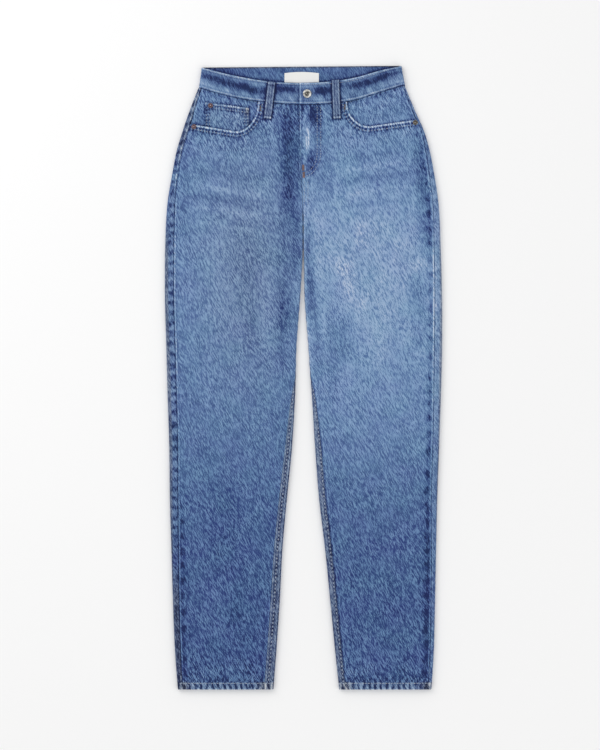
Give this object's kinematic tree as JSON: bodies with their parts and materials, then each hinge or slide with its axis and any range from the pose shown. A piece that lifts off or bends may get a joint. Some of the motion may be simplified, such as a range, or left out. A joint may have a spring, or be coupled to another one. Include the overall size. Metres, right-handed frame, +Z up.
{
  "type": "tapered jeans",
  "caption": "Tapered denim jeans laid flat with the front up: high dipped waistband, curved pocket mouths, coin pocket, fly, yokes, patch pockets and narrow stitched hems.",
  "frame": {"origin": "middle of the bounding box, on the surface that the jeans lie on", "axes": "+X towards the wearer's left, +Y from the hems to the waist, +Z up, out of the front"},
  "size_m": [0.4668, 1.0499, 0.011],
  "materials": {
    "denim": "stonewashed mid-blue twill",
    "waistband_denim": "stonewashed twill, worn along its edges",
    "button_metal": "worn nickel plate",
    "rivet_metal": "dulled copper plate",
    "label_cloth": "bare white woven tape"
  },
  "bodies": {
    "root": {"front_right": "denim", "front_left": "denim", "pocket_facing_right": "denim", "pocket_facing_left": "denim", "coin_pocket": "denim", "back_right": "denim", "back_left": "denim", "yoke_right": "denim", "yoke_left": "denim", "back_pocket_right": "denim", "back_pocket_left": "denim", "waistband": "waistband_denim", "belt_loop_right": "waistband_denim", "belt_loop_left": "waistband_denim", "waist_button": "button_metal", "rivet_coin": "rivet_metal", "rivet_pocket_right": "rivet_metal", "rivet_pocket_left": "rivet_metal", "label": "label_cloth"}
  },
  "joints": []
}
